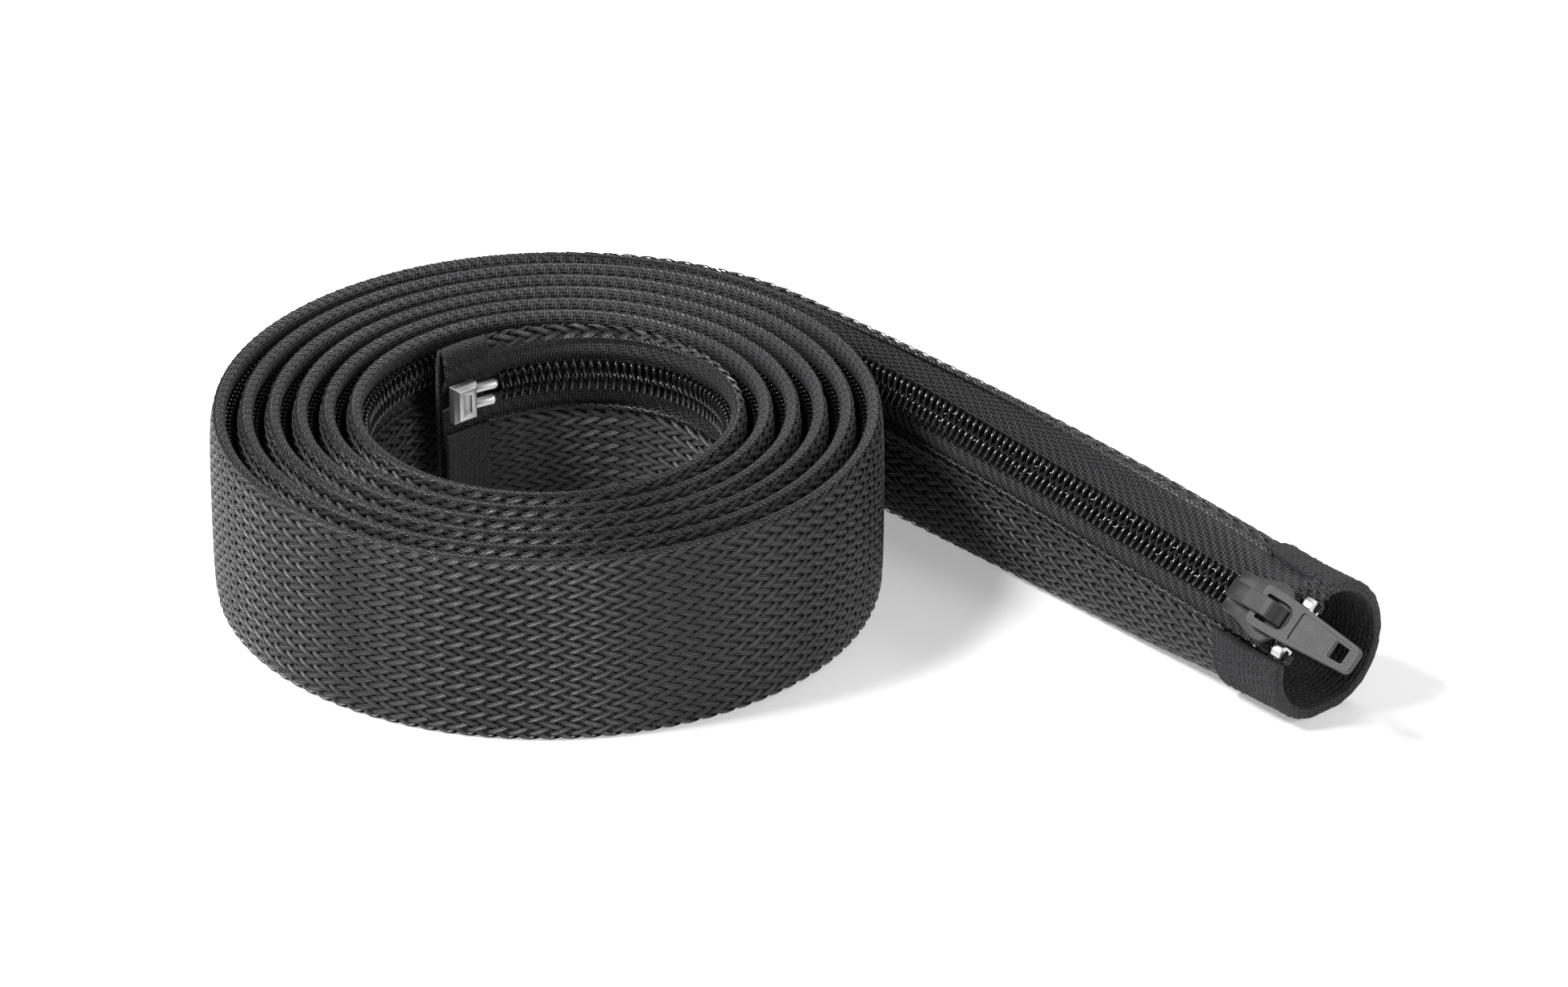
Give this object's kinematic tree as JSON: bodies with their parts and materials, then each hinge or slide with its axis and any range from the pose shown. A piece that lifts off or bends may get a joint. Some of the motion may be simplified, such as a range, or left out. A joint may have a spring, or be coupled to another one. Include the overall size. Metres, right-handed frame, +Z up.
{
  "type": "zippered cable sleeve",
  "caption": "Braided tube for bundling cables, open along its length on a coil zipper with a metal slider and pull tab, wound on edge into a flat coil with its mouth led straight out.",
  "frame": {"origin": "under the middle of the whole part, on the floor it lies on", "axes": "+Z is up, along the coil's axis; +X runs along the straight end towards its open mouth; the coil lies on the -X side"},
  "size_m": [0.2004, 0.1384, 0.0345],
  "materials": {
    "braid": "braid of flat bundles of glossy black polyester monofilament",
    "tape": "woven matte black polyester zipper tape",
    "zip_coil": "glossy black nylon monofilament coil",
    "binding": "ribbed knit polyester edge tape",
    "slider": "satin black enamel on die-cast zinc",
    "bright_metal": "bright plated metal"
  },
  "bodies": {
    "sleeve": {"braided_sleeve": "braid", "upper_zip_tape": "tape", "lower_zip_tape": "tape", "upper_tooth_row": "zip_coil", "lower_tooth_row": "zip_coil", "mouth_binding": "binding", "inner_end_binding": "binding", "upper_top_stop": "bright_metal", "lower_top_stop": "bright_metal", "retainer_box": "bright_metal", "upper_retainer_pin": "bright_metal", "lower_retainer_pin": "bright_metal"},
    "slider": {"slider_body": "slider"},
    "pull_tab": {"pull_tab": "slider"}
  },
  "joints": [
    {"name": "slider_run", "type": "slide", "parent": "sleeve", "child": "slider", "axis": [-0.9964, 0, 0.0847], "range_m": [0, 0.03], "deforming": ["upper_tooth_row", "lower_tooth_row"]},
    {"name": "pull_tab_hinge", "type": "hinge", "parent": "slider", "child": "pull_tab", "pos_m": [0.07911, 0.0453, 0.0224], "axis": [-0.06, -0.7058, -0.7058], "range_deg": [0, 140]}
  ]
}
